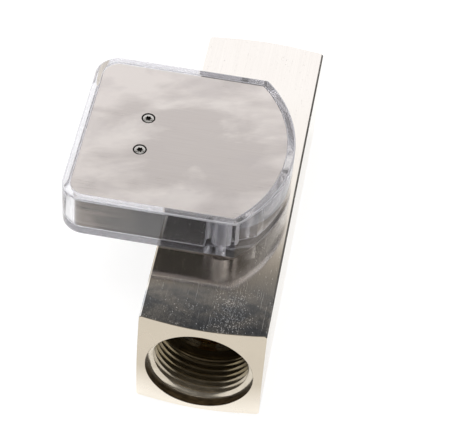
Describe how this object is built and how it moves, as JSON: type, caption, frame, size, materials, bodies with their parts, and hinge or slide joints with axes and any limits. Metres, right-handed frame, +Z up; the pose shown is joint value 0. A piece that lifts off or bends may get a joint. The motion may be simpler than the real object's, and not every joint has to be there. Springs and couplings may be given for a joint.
{
  "type": "variable area flow meter",
  "caption": "Square nickel-plated metering bar with threaded ports, a spring-loaded float on a rod inside, and a clear side-mounted display housing whose pointer follows the float by magnets.",
  "frame": {"origin": "middle of the bar's lower face, on which the meter rests, midway between its corners along the flow", "axes": "+Z up through the bar to the display's back plate, +Y along the flow from inlet to outlet, +X to the side away from the display's overhang"},
  "size_m": [0.0721, 0.1324, 0.056],
  "materials": {
    "nickel_plate": "machined brass with a bright nickel plating, fine draw lines along the bar",
    "brass": "turned brass",
    "black_rubber": "smooth black elastomer",
    "stainless": "turned stainless steel",
    "spring_steel": "drawn spring steel",
    "ferrite": "sintered ferrite, ground faces",
    "clear_plastic": "clear moulded plastic, polished",
    "screw_steel": "bright stainless screws",
    "brushed_plate": "stainless sheet with a fine brushed grain and faint smudges",
    "seal": "grey sealing strip",
    "aluminium": "stamped aluminium sheet",
    "plated_magnet": "nickel-coated magnet",
    "dial": "cast aluminium, white face on the reading side, plain grey elsewhere",
    "pointer_red": "red lacquer"
  },
  "bodies": {
    "meter": {"measuring_body": "nickel_plate", "measuring_sleeve": "brass", "sleeve_o_ring": "black_rubber", "inlet_guide": "brass", "outlet_guide": "brass", "guide_rod": "stainless", "retaining_rings": "spring_steel", "float_spring": "spring_steel", "display_housing": "clear_plastic", "housing_screws": "screw_steel", "back_plate": "brushed_plate", "back_plate_seal": "seal", "back_plate_screws": "screw_steel", "bearing_bracket": "stainless", "upper_bush": "brass", "lower_bush": "brass", "dial_plate": "dial", "dial_screws": "screw_steel"},
    "float": {"float_body": "stainless", "float_magnet": "ferrite", "float_cap": "stainless"},
    "indicator": {"pointer_spindle": "stainless", "arm_hub": "brass", "follower_arm": "aluminium", "follower_magnet": "plated_magnet", "counterweight": "brass", "pointer": "pointer_red"}
  },
  "joints": [
    {"name": "float_slide", "type": "slide", "parent": "meter", "child": "float", "axis": [0, 1, 0], "range_m": [0, 0.024], "stiffness_N_per_m": 158, "springref_m": -0.008, "deforming": ["float_spring"]},
    {"name": "pointer_turn", "type": "hinge", "parent": "meter", "child": "indicator", "pos_m": [-0.03085, -0.0023, 0.0485], "axis": [0, 0, 1], "range_deg": [0, 44.6]}
  ],
  "couplings": [
    {"joint": "pointer_turn", "follows": "float_slide", "rad_per_m": 32.415}
  ]
}
